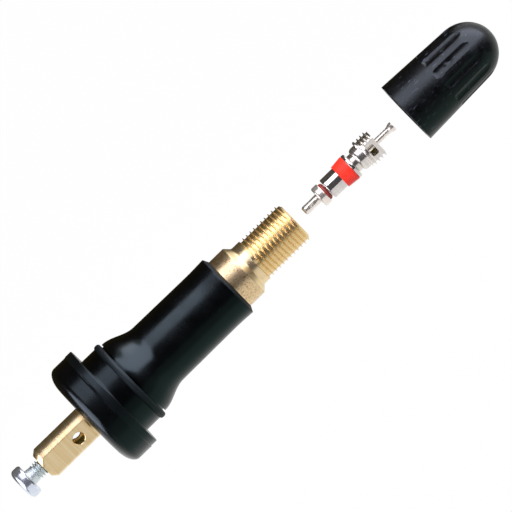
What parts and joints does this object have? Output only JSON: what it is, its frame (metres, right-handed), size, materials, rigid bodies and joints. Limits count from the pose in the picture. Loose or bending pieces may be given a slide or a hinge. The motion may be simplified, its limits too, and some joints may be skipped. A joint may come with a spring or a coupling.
{
  "type": "tyre valve",
  "caption": "Snap-in tubeless tyre valve: rubber body on a brass stem with a flatted tail and screw, with its valve core and fluted dome cap drawn out along the axis.",
  "frame": {"origin": "on the valve's axis at the front face of the flange, where the wheel rim seats", "axes": "+X along the valve's axis to the cap, +Z square to the tail's flats"},
  "size_m": [0.1047, 0.0198, 0.0198],
  "materials": {
    "body_rubber": "moulded rubber, smooth and slightly shiny",
    "stem_brass": "turned brass",
    "screw_zinc": "zinc-plated steel",
    "core_nickel": "bright nickel plate on turned brass",
    "seal_red": "red sealing plastic",
    "washer_rubber": "red-brown rubber",
    "spring_steel": "drawn steel wire",
    "cap_plastic": "moulded black plastic, satin",
    "gasket_rubber": "moulded rubber"
  },
  "bodies": {
    "stem": {"valve_stem": "stem_brass", "rubber_body": "body_rubber"},
    "screw": {"sensor_screw": "screw_zinc"},
    "core": {"core_barrel": "core_nickel", "core_seal": "seal_red", "core_spring": "spring_steel"},
    "plug": {"core_plug": "core_nickel"},
    "pin": {"core_pin": "core_nickel", "core_cup": "core_nickel", "cup_washer": "washer_rubber"},
    "cap": {"cap": "cap_plastic", "cap_gasket": "gasket_rubber"}
  },
  "joints": [
    {"name": "screw_slide", "type": "slide", "parent": "stem", "child": "screw", "axis": [1, 0, 0], "range_m": [-0.006, 0.0027]},
    {"name": "core_slide", "type": "slide", "parent": "stem", "child": "core", "axis": [1, 0, 0], "range_m": [-0.0221, 0]},
    {"name": "plug_swivel", "type": "hinge", "parent": "core", "child": "plug", "pos_m": [0.055, 0, 0], "axis": [1, 0, 0], "continuous": true},
    {"name": "pin_press", "type": "slide", "parent": "core", "child": "pin", "axis": [1, 0, 0], "range_m": [-0.0015, 0], "stiffness_N_per_m": 300, "springref_m": 0.002, "deforming": ["core_spring"]},
    {"name": "cap_slide", "type": "slide", "parent": "core", "child": "cap", "axis": [1, 0, 0], "range_m": [-0.0171, 0]}
  ]
}
